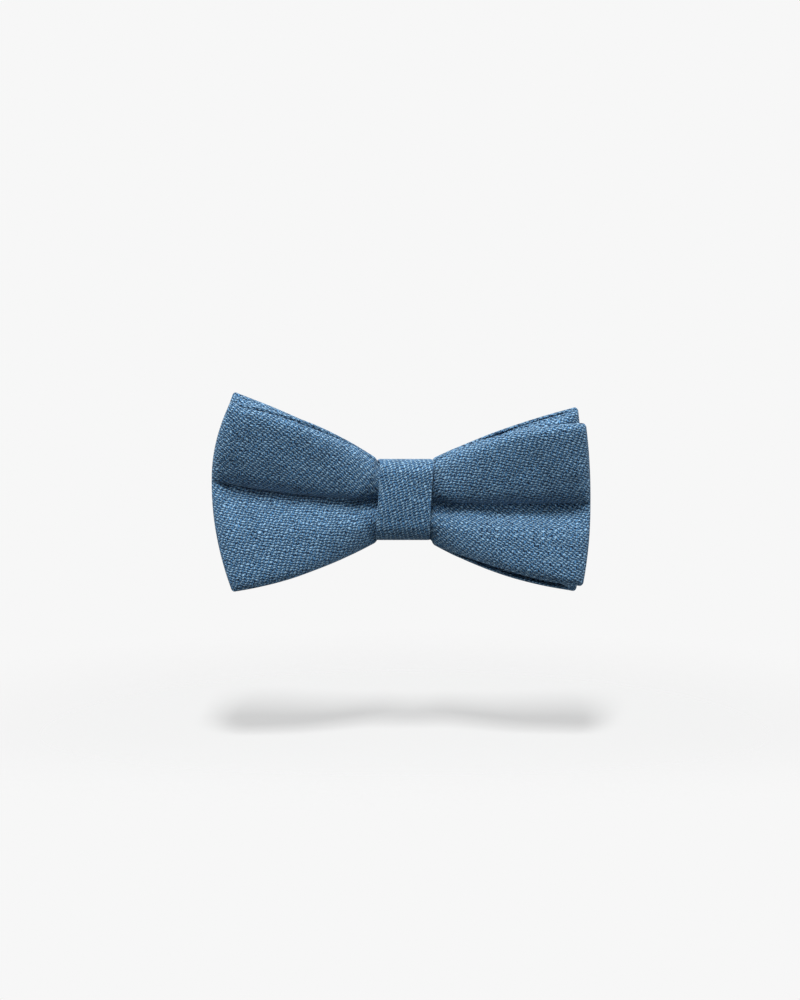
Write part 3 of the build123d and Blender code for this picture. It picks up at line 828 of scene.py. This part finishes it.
def new_group(name, inputs):
    """A node group with named inputs, for a colour, a height and a roughness.

    Returns the group, its input node, and a function that links its three results.
    """
    group = bpy.data.node_groups.new(name, "ShaderNodeTree")
    for label, (kind, default) in inputs.items():
        socket = group.interface.new_socket(label, in_out="INPUT", socket_type=SOCKETS[kind])
        if default is not None:
            socket.default_value = default
    for label, kind in (("Colour", "colour"), ("Height", "number"), ("Roughness", "number")):
        group.interface.new_socket(label, in_out="OUTPUT", socket_type=SOCKETS[kind])
    given, result = group.nodes.new("NodeGroupInput"), group.nodes.new("NodeGroupOutput")

    def give(colour, height, roughness):
        for socket, value in zip(result.inputs, (colour, height, roughness)):
            put(group, socket, value)

    return group, given, give


def new_material(name, group, inputs, bump, shader):
    """A material: one group feeds the colour, the roughness and the bump of one Principled shader."""
    material = bpy.data.materials.new(name)
    material.use_nodes = True
    tree = material.node_tree
    principled = tree.nodes["Principled BSDF"]
    finish = add_node(tree, "ShaderNodeGroup", node_tree=group)
    for label, value in inputs(tree).items():
        put(tree, finish.inputs[label], value)
    bumped = add_node(tree, "ShaderNodeBump", {"Height": finish.outputs["Height"], "Distance": bump * MM})
    put(tree, principled.inputs["Base Color"], finish.outputs["Colour"])
    put(tree, principled.inputs["Roughness"], finish.outputs["Roughness"])
    put(tree, principled.inputs["Normal"], bumped.outputs["Normal"])
    for label, value in shader.items():
        principled.inputs[label].default_value = value
    return material


def object_mm(tree):
    """Places on the object in millimetres."""
    places = add_node(tree, "ShaderNodeTexCoord").outputs["Object"]
    return calc_vector(tree, "MULTIPLY", places, (1 / MM, 1 / MM, 1 / MM))


def cloth_mm(tree):
    """Places in the flat cloth, or along and round a thread, in millimetres."""
    return add_node(tree, "ShaderNodeUVMap", uv_map="cloth").outputs["UV"]


# %% [markdown]
# ## Twill
# The cloth is a two-and-one twill: each warp yarn goes over two weft yarns and under one, and its neighbour
# does the same one yarn higher, which draws lines up to the right. A warp yarn rises and dips as a cosine
# with a period of three weft yarns, and a weft yarn does the opposite. Whichever is higher at a place is
# the one that is seen. The warp is dyed blue and the weft is a paler blue, so where they swap places the
# cloth is flecked. Yarns are spun unevenly, so each has its own shade and thick and thin stretches.

# %% The twill group
WARP_PITCH, WEFT_PITCH = 0.594, 0.685
YARN_DRIFT = 1.9  # how far the yarns wander, times a noise from -0.5 to 0.5
YARN_RISE, YARN_ROUND = 0.4, 0.7  # height of a yarn's rise and dip, and of its rounded section


def twill_group():
    """The weave, as sums on the two directions of the cloth."""
    group, given, give = new_group(
        "twill",
        {
            "Cloth": ("vector", None),
            "Turn": ("number", 0.0),
            "Warp": ("colour", (0.05, 0.13, 0.24, 1)),
            "Weft": ("colour", (0.3, 0.42, 0.52, 1)),
            "GapShade": ("colour", (0.01, 0.03, 0.07, 1)),
            "Uneven": ("number", 0.3),
        },
    )
    place = given.outputs["Cloth"]
    turn = {"Vector": place, "Angle": given.outputs["Turn"]}
    turned = add_node(group, "ShaderNodeVectorRotate", turn, rotation_type="Z_AXIS").outputs[0]
    wander = add_node(group, "ShaderNodeTexNoise", {"Vector": turned, "Scale": 0.55, "Detail": 3.0})
    centred = calc_vector(group, "SUBTRACT", wander.outputs["Color"], (0.5, 0.5, 0.5))
    drifted = calc_vector(group, "MULTIPLY_ADD", centred, (YARN_DRIFT, YARN_DRIFT, 0), turned)
    split = add_node(group, "ShaderNodeSeparateXYZ", {"Vector": drifted})
    warp_at = calc(group, "DIVIDE", split.outputs["X"], WARP_PITCH)
    weft_at = calc(group, "DIVIDE", split.outputs["Y"], WEFT_PITCH)
    warp_number, weft_number = calc(group, "FLOOR", warp_at), calc(group, "FLOOR", weft_at)

    def across(at):
        """A yarn's rounded section: the cosine of the place across it, 1 on its ridge and near 0 at its
        edges."""
        place_across = calc(group, "SUBTRACT", calc(group, "FRACT", at), 0.5)
        return calc(group, "COSINE", calc(group, "MULTIPLY", place_across, 0.94 * np.pi))

    def rise(first, second, sign):
        """A yarn's rise and dip over three of the yarns that it crosses."""
        turn = calc(group, "MULTIPLY", calc(group, "SUBTRACT", first, second), 2 * np.pi / 3)
        return calc(group, "MULTIPLY", calc(group, "COSINE", turn), sign)

    middle_of_warp = calc(group, "ADD", warp_number, 0.5)
    middle_of_weft = calc(group, "ADD", weft_number, 0.5)
    warp_rise = rise(calc(group, "ADD", middle_of_warp, 1.0), weft_at, -1.0)
    weft_rise = rise(calc(group, "ADD", warp_at, 1.0), middle_of_weft, 1.0)
    warp_round = calc(group, "MULTIPLY", across(warp_at), YARN_ROUND)
    weft_round = calc(group, "MULTIPLY", across(weft_at), YARN_ROUND)
    warp_height = calc(group, "MULTIPLY_ADD", warp_rise, YARN_RISE, warp_round)
    weft_height = calc(group, "MULTIPLY_ADD", weft_rise, YARN_RISE, weft_round)
    height = calc(group, "MAXIMUM", warp_height, weft_height)
    weft_lead = calc(group, "SUBTRACT", weft_height, warp_height)
    weft_on_top = remap(group, weft_lead, 0.02, 0.22, 0, 1, smooth=True)

    def yarn_shade(number, scale_x, scale_y, offset):
        """A yarn's own shade, plus thick and thin stretches along it, both centred on zero."""
        own = add_node(group, "ShaderNodeTexWhiteNoise", noise_dimensions="1D")
        put(group, own.inputs["W"], calc(group, "ADD", number, offset))
        stretch = noise(group, calc_vector(group, "MULTIPLY", drifted, (scale_x, scale_y, 1)), 1.0, 3.0, 0.65)
        own_shade = calc(group, "SUBTRACT", own.outputs["Value"], 0.5)
        return calc(group, "MULTIPLY_ADD", calc(group, "SUBTRACT", stretch, 0.5), 3.2, own_shade)

    uneven = given.outputs["Uneven"]
    warp_shade = calc(group, "MULTIPLY_ADD", yarn_shade(warp_number, 1.7, 0.3, 11.0), uneven, 1.0)
    weft_shade = calc(group, "MULTIPLY_ADD", yarn_shade(weft_number, 0.3, 1.5, 57.0), uneven, 1.0)
    warp_colour = shaded(group, given.outputs["Warp"], warp_shade)
    weft_colour = shaded(group, given.outputs["Weft"], weft_shade)
    yarns = blend_colours(group, weft_on_top, warp_colour, weft_colour)
    # Painted shade: the low places between the yarns are darkened towards the gap shade colour, so only the
    # crowns show the full yarn colour.
    sunk = remap(group, height, 0.48, 1.05, 1.0, 0)
    woven = blend_colours(group, sunk, yarns, given.outputs["GapShade"])
    cloud = calc(group, "SUBTRACT", noise(group, turned, 0.16, 3.0), 0.5)
    cloudy = calc(group, "MULTIPLY_ADD", cloud, 0.5, 1.0)
    fibres = calc(group, "MULTIPLY", noise(group, turned, 7.0, 3.0), 0.25)
    colour = shaded(group, woven, cloudy)
    height_out = calc(group, "ADD", height, fibres)
    roughness = remap(group, height, 0.2, 1.2, 0.98, 0.8)
    give(colour, height_out, roughness)
    return group


twill = twill_group()
print("twill yarns:", WARP_PITCH, "by", WEFT_PITCH, "mm")

# %% [markdown]
# ## Threads, felt, metal and vinyl
# Sewing thread is two strands twisted together, so its height is a wave that winds round it. The stiffener
# is a felt of white fibres. The clip is pressed from nickel-plated steel: it is rolled along its length,
# which leaves fine lines, and it is handled, which leaves it smoother in places. The pads are a soft grey
# vinyl.


# %% The other groups
def thread_group():
    """Strands that wind round a thread: the sine of the distance along it plus the distance round it. The
    colour has painted shade in the grooves between the strands.
    """
    group, given, give = new_group(
        "twisted_thread",
        {"Thread": ("vector", None), "Colour": ("colour", (0.05, 0.11, 0.19, 1)), "Twist": ("number", 5.5)},
    )
    split = add_node(group, "ShaderNodeSeparateXYZ", {"Vector": given.outputs["Thread"]})
    distance = calc(group, "ADD", split.outputs["X"], split.outputs["Y"])
    wound = calc(group, "MULTIPLY", distance, given.outputs["Twist"])
    strand = calc(group, "MULTIPLY_ADD", calc(group, "SINE", wound), 0.5, 0.5)
    fuzz = noise(group, given.outputs["Thread"], 6.0, 3.0)
    # Painted shade: the thread is darker in the grooves between its strands and lighter on their crowns.
    shade = calc(group, "MULTIPLY_ADD", fuzz, 0.3, calc(group, "MULTIPLY_ADD", strand, 0.45, 0.6))
    colour = shaded(group, given.outputs["Colour"], shade)
    height_out = calc(group, "MULTIPLY_ADD", fuzz, 0.3, strand)
    roughness = remap(group, strand, 0, 1, 0.9, 0.65)
    give(colour, height_out, roughness)
    return group


def felt_group():
    """Matted fibres: two stretched noises laid across each other, of which the larger is seen."""
    group, given, give = new_group(
        "felt",
        {"Place": ("vector", None), "Colour": ("colour", (0.75, 0.74, 0.7, 1))},
    )
    one = noise(group, calc_vector(group, "MULTIPLY", given.outputs["Place"], (4.0, 4.0, 0.5)), 1.0, 4.0)
    other = noise(group, calc_vector(group, "MULTIPLY", given.outputs["Place"], (0.5, 4.0, 4.0)), 1.0, 4.0)
    fibres = calc(group, "MAXIMUM", one, other)
    shade = remap(group, fibres, 0.4, 0.75, 0.8, 1.05)
    colour = shaded(group, given.outputs["Colour"], shade)
    roughness = remap(group, fibres, 0.3, 0.8, 1.0, 0.85)
    give(colour, fibres, roughness)
    return group


def metal_group():
    """Rolled and handled metal: fine lines along the grain, and broad patches where handling has smoothed
    it."""
    group, given, give = new_group(
        "rolled_metal",
        {
            "Place": ("vector", None),
            "Grain": ("vector", (0.25, 6.0, 6.0)),
            "Colour": ("colour", (0.6, 0.58, 0.54, 1)),
            "Smooth": ("number", 0.2),
            "Rough": ("number", 0.38),
        },
    )
    along = calc_vector(group, "MULTIPLY", given.outputs["Place"], given.outputs["Grain"])
    lines = noise(group, along, 1.0, 5.0, 0.7)
    patches = noise(group, given.outputs["Place"], 0.22, 4.0, 0.6)
    handled = remap(group, patches, 0.35, 0.65, 0, 1, smooth=True)
    dulled = remap(group, noise(group, given.outputs["Place"], 1.1, 5.0, 0.7), 0.55, 0.8, 0, 0.35)
    tarnish = blend_colours(group, dulled, given.outputs["Colour"], (0.33, 0.3, 0.26, 1))
    shade = remap(group, lines, 0.25, 0.75, 0.88, 1.06)
    rough = given.outputs["Rough"]
    gain = calc(group, "SUBTRACT", given.outputs["Smooth"], rough)
    base = calc(group, "MULTIPLY_ADD", handled, gain, rough)
    colour = shaded(group, tarnish, shade)
    roughness = calc(group, "ADD", base, calc(group, "MULTIPLY", lines, 0.12))
    give(colour, lines, roughness)
    return group


def vinyl_group():
    """Moulded soft plastic: an even colour, slightly cloudy, with a fine matt grain."""
    group, given, give = new_group(
        "soft_vinyl",
        {"Place": ("vector", None), "Colour": ("colour", (0.42, 0.43, 0.44, 1))},
    )
    cloud = noise(group, given.outputs["Place"], 0.7, 3.0)
    grain = noise(group, given.outputs["Place"], 9.0, 3.0)
    shade = remap(group, cloud, 0.3, 0.7, 0.9, 1.06)
    colour = shaded(group, given.outputs["Colour"], shade)
    roughness = remap(group, cloud, 0.3, 0.7, 0.5, 0.38)
    give(colour, grain, roughness)
    return group


twisted, felt, rolled, vinyl = thread_group(), felt_group(), metal_group(), vinyl_group()
print("groups:", [group.name for group in bpy.data.node_groups])

# %% The materials
# GapShade is the colour of the painted shade between the yarns.
YARNS = {"Warp": (0.098, 0.262, 0.49, 1), "Weft": (0.3, 0.52, 0.74, 1), "GapShade": (0.003, 0.014, 0.042, 1)}
SHEEN = {
    "Sheen Weight": 0.25,
    "Sheen Roughness": 0.5,
    "Sheen Tint": (0.6, 0.75, 0.9, 1),
    "Specular IOR Level": 0.2,
}


def denim(name, turn, shift):
    """The twill in one piece of the tie, with its grain turned and shifted so that no two pieces match."""

    def given(tree):
        return {"Cloth": calc_vector(tree, "ADD", cloth_mm(tree), shift), "Turn": turn, **YARNS}

    return new_material(name, twill, given, 0.22, SHEEN)


front_denim = denim("front_denim", np.radians(-8), (0, 0, 0))
rear_denim = denim("rear_denim", np.radians(-5), (41, 17, 0))
band_denim = denim("band_denim", np.radians(-144), (73, 29, 0))
band_felt = new_material(
    "interlining_felt", felt, lambda tree: {"Place": object_mm(tree)}, 0.1, {"Specular IOR Level": 0.2}
)
THREAD_SHADER = {"Sheen Weight": 0.3, "Specular IOR Level": 0.3}
sewing_thread = new_material(
    "sewing_thread", twisted, lambda tree: {"Thread": cloth_mm(tree)}, 0.05, THREAD_SHADER
)
wound_thread = new_material(
    "wound_thread", twisted, lambda tree: {"Thread": object_mm(tree), "Twist": 6.5}, 0.04, THREAD_SHADER
)
METAL = {"Metallic": 1.0}
clip_steel = new_material(
    "nickel_plated_steel", rolled, lambda tree: {"Place": object_mm(tree)}, 0.006, METAL
)
pin_steel = new_material(
    "turned_pin_steel",
    rolled,
    lambda tree: {"Place": object_mm(tree), "Grain": (5.0, 5.0, 0.6), "Rough": 0.3, "Smooth": 0.16},
    0.004,
    METAL,
)
spring_steel = new_material(
    "spring_wire_steel",
    rolled,
    lambda tree: {
        "Place": cloth_mm(tree),
        "Grain": (0.3, 7.0, 1.0),
        "Colour": (0.36, 0.35, 0.34, 1),
        "Rough": 0.32,
    },
    0.006,
    METAL,
)
pad_vinyl = new_material(
    "pad_vinyl",
    vinyl,
    lambda tree: {"Place": object_mm(tree)},
    0.02,
    {
        "Subsurface Weight": 0.25,
        "Subsurface Radius": (0.4, 0.4, 0.4),
        "Subsurface Scale": MM,
        "Coat Weight": 0.05,
    },
)
print("thread and pad:", sewing_thread.name, pad_vinyl.name)

# %% [markdown]
# ## Putting it together
# Each new piece gets its finish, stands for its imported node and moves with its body. Pieces of cloth also
# say how large they were before they were folded. The tube of cloth of a bow was cut twice as wide as the
# finished strip.


# %% Give each piece its finish and its body
def fit(piece, material, node, body="bow"):
    """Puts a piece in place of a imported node."""
    piece.data.materials.append(material)
    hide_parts(node)
    if body:
        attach(piece, body)


fit(front_cloth, front_denim, "front_bow_shell")
fit(rear_cloth, rear_denim, "rear_bow_shell")
fit(band_cloth, band_denim, "knot_band")
fit(front_stiffener, band_felt, "front_bow_interlining")
fit(rear_stiffener, band_felt, "rear_bow_interlining")
fit(band_stiffener, band_felt, "knot_band_interlining")
fit(closing_stitches, sewing_thread, "knot_closing_stitches")
fit(plate_strands, sewing_thread, "plate_sewing_threads")
for word, spring in springs.items():
    fit(spring, spring_steel, word + "_spring", body=None)

NODE_FINISHES = {
    clip_steel: ("clip_plate", "right_jaw", "left_jaw"),
    pin_steel: ("right_hinge_pin", "left_hinge_pin"),
    pad_vinyl: ("right_jaw_pad", "left_jaw_pad"),
    wound_thread: ("binding_thread", "front_bow_end_stitches", "rear_bow_end_stitches"),
}
for material, nodes in NODE_FINISHES.items():
    for node in nodes:
        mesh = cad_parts[node].data
        mesh.materials.clear()
        mesh.materials.append(material)
print("finished nodes:", sum(len(nodes) for nodes in NODE_FINISHES.values()))

# %% Bake the springs' placement into their meshes
for side, word in ((1, "right"), (-1, "left")):
    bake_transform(springs[word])


def flat_size(piece, length):
    """Prints half the area of a piece, and that over its length in metres, which is the width of its
    cloth."""
    areas = np.empty(len(piece.data.polygons), dtype=np.float32)
    piece.data.polygons.foreach_get("area", areas)
    area = areas.sum(dtype=float)
    print(f"{piece.name}: {area / 2 * 1e4:.1f} cm2 of cloth, {area / 2 / length / MM:.1f} mm wide")


ROUND_LENGTHS = {
    front_cloth: 0.245,
    rear_cloth: 0.24,
    band_cloth: 0.072,
    front_stiffener: 0.245,
    rear_stiffener: 0.24,
    band_stiffener: 0.071,
}
for piece, length in ROUND_LENGTHS.items():
    flat_size(piece, length)

# %% [markdown]
# ## Floor, light and camera
# The tie floats over a pale floor that rises gently behind it and fades into the background. One large soft
# light from above and in front shapes the folds and drops a soft shadow. Four more, overhead, behind and at
# both sides, reach the tie and not the floor, and a faint surround fills the rest.

# %% Floor
FLOOR_Z, FLOOR_RISE = -77.5, 0.13
FLOOR_HALF = 260.0
FLOOR_BEND = 40.0  # how gradually the rise begins
FLOOR_COUNT = 81
FLOOR_ALPHA = 0.35  # in the middle, falling to nothing between the next two distances
CLEAR_FROM, CLEAR_BY = 60, 170


def make_floor():
    """A grid that is flat in front and rises behind: z grows as y plus the square root of y^2 + bend^2."""
    steps = np.linspace(-FLOOR_HALF, FLOOR_HALF, FLOOR_COUNT)
    x, y = np.meshgrid(steps, steps, indexing="ij")
    z = FLOOR_Z + FLOOR_RISE * (y + np.sqrt(y**2 + FLOOR_BEND**2)) / 2
    i, j = np.meshgrid(np.arange(FLOOR_COUNT - 1), np.arange(FLOOR_COUNT - 1), indexing="ij")
    start = i * FLOOR_COUNT + j
    faces = np.stack([start, start + FLOOR_COUNT, start + FLOOR_COUNT + 1, start + 1], axis=-1)
    return make_piece("floor", np.stack([x, y, z], axis=-1).reshape(-1, 3), faces.reshape(-1, 4))


floor = make_floor()
floor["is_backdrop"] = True
paper = bpy.data.materials.new("floor_paper")
paper.use_nodes = True
tree = paper.node_tree
principled = tree.nodes["Principled BSDF"]
principled.inputs["Base Color"].default_value = (0.9, 0.9, 0.9, 1)
principled.inputs["Roughness"].default_value = 1.0
principled.inputs["Specular IOR Level"].default_value = 0.0
spot = add_node(tree, "ShaderNodeVectorMath", operation="LENGTH")
put(tree, spot.inputs[0], calc_vector(tree, "MULTIPLY", object_mm(tree), (0.8, 1.0, 0)))
fade = remap(tree, spot.outputs["Value"], CLEAR_FROM, CLEAR_BY, FLOOR_ALPHA, 0.0, smooth=True)
put(tree, principled.inputs["Alpha"], fade)
floor.data.materials.append(paper)

# %% Surround and light
BACKGROUND = 0.93  # what the camera sees
SURROUND = 0.07  # what lights the tie
world = bpy.data.worlds.new("studio")
bpy.context.scene.world = world
world.use_nodes = True
tree = world.node_tree
behind = tree.nodes["Background"]
seen = add_node(tree, "ShaderNodeBackground", {"Color": (1, 1, 1, 1), "Strength": BACKGROUND})
behind.inputs["Color"].default_value = (1, 1, 1, 1)
behind.inputs["Strength"].default_value = SURROUND
path = add_node(tree, "ShaderNodeLightPath")
either = add_node(tree, "ShaderNodeMixShader")
put(tree, either.inputs[0], path.outputs["Is Camera Ray"])
put(tree, either.inputs[1], behind.outputs[0])
put(tree, either.inputs[2], seen.outputs[0])
put(tree, tree.nodes["World Output"].inputs["Surface"], either.outputs[0])


def aim(thing, place, target):
    """Puts a light or camera at a place, looking at a target: both in metres."""
    thing.location = place
    thing.rotation_euler = (Vector(target) - Vector(place)).to_track_quat("-Z", "Y").to_euler()
    bpy.context.scene.collection.objects.link(thing)
    return thing


# place, width and height in metres, and power in watts; every light looks at the middle of the tie
LIGHTS = {
    "softbox_above_front": ((-0.04, -0.5, 0.98), (0.16, 0.42), 12.8),
    "softbox_overhead": ((0, 0.2, 0.95), (0.16, 0.3), 6.0),
    "softbox_left": ((-0.9, -0.25, 0.15), (0.3, 0.4), 4.0),
    "softbox_behind": ((0.1, 0.85, 0.35), (0.5, 0.3), 5.0),
    "softbox_right": ((0.9, -0.25, 0.15), (0.3, 0.4), 3.6),
}
for name, (place, (width, height), power) in LIGHTS.items():
    softbox = bpy.data.lights.new(name, "AREA")
    softbox.shape, softbox.size, softbox.size_y, softbox.energy = "RECTANGLE", width, height, power
    aim(bpy.data.objects.new(name, softbox), place, (0, 0, 0))
print("lights:", list(LIGHTS))

# %% Lights that only reach the tie
kept_dark = bpy.data.collections.new("floor_kept_dark")
kept_dark.objects.link(floor)
kept_dark.collection_objects[0].light_linking.link_state = "EXCLUDE"
for name in ("softbox_overhead", "softbox_left", "softbox_right", "softbox_behind"):
    bpy.data.objects[name].light_linking.receiver_collection = kept_dark
print("lights on the floor: softbox_above_front")

# %% Camera
CAMERA_DISTANCE = 0.9
CAMERA_HEIGHT = 0.031
IMAGE_HEIGHT = 0.3183  # metres from the top to the bottom of the image, at the depth of the wings' front
FRONT_DEPTH = 0.012
SIDEWAYS = -0.0015  # of the camera and of what it looks at
AIM_HEIGHT = -0.0005
SENSOR_HEIGHT = 32
camera = bpy.data.cameras.new("camera")
camera.sensor_fit, camera.sensor_height = "VERTICAL", SENSOR_HEIGHT
camera.lens = SENSOR_HEIGHT * (CAMERA_DISTANCE - FRONT_DEPTH) / IMAGE_HEIGHT
camera_place = (SIDEWAYS, -CAMERA_DISTANCE, CAMERA_HEIGHT)
aim(bpy.data.objects.new("camera", camera), camera_place, (SIDEWAYS, 0, AIM_HEIGHT))
bpy.context.scene.camera = bpy.data.objects["camera"]
bpy.context.scene.view_settings.view_transform = "Standard"
print(f"lens: {camera.lens:.0f} mm")

# %% [markdown]
# ## Sizes
# The last cell prints the box of the imported model and the box of what is shown.


# %% Print the sizes
def shown_box():
    """The lowest and highest corners of every shown piece, in metres."""
    bpy.context.view_layer.update()
    corners = np.array(
        [piece.matrix_world @ v.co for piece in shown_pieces() for v in piece.data.vertices], dtype=float
    )
    return corners.min(0).tolist(), corners.max(0).tolist()


sizes = {"cad_box": [list(cad_low), list(cad_high)], "visual_box": list(shown_box())}
for name, (low, high) in sizes.items():
    print(name, [round(a / MM, 1) for a in low], [round(b / MM, 1) for b in high])
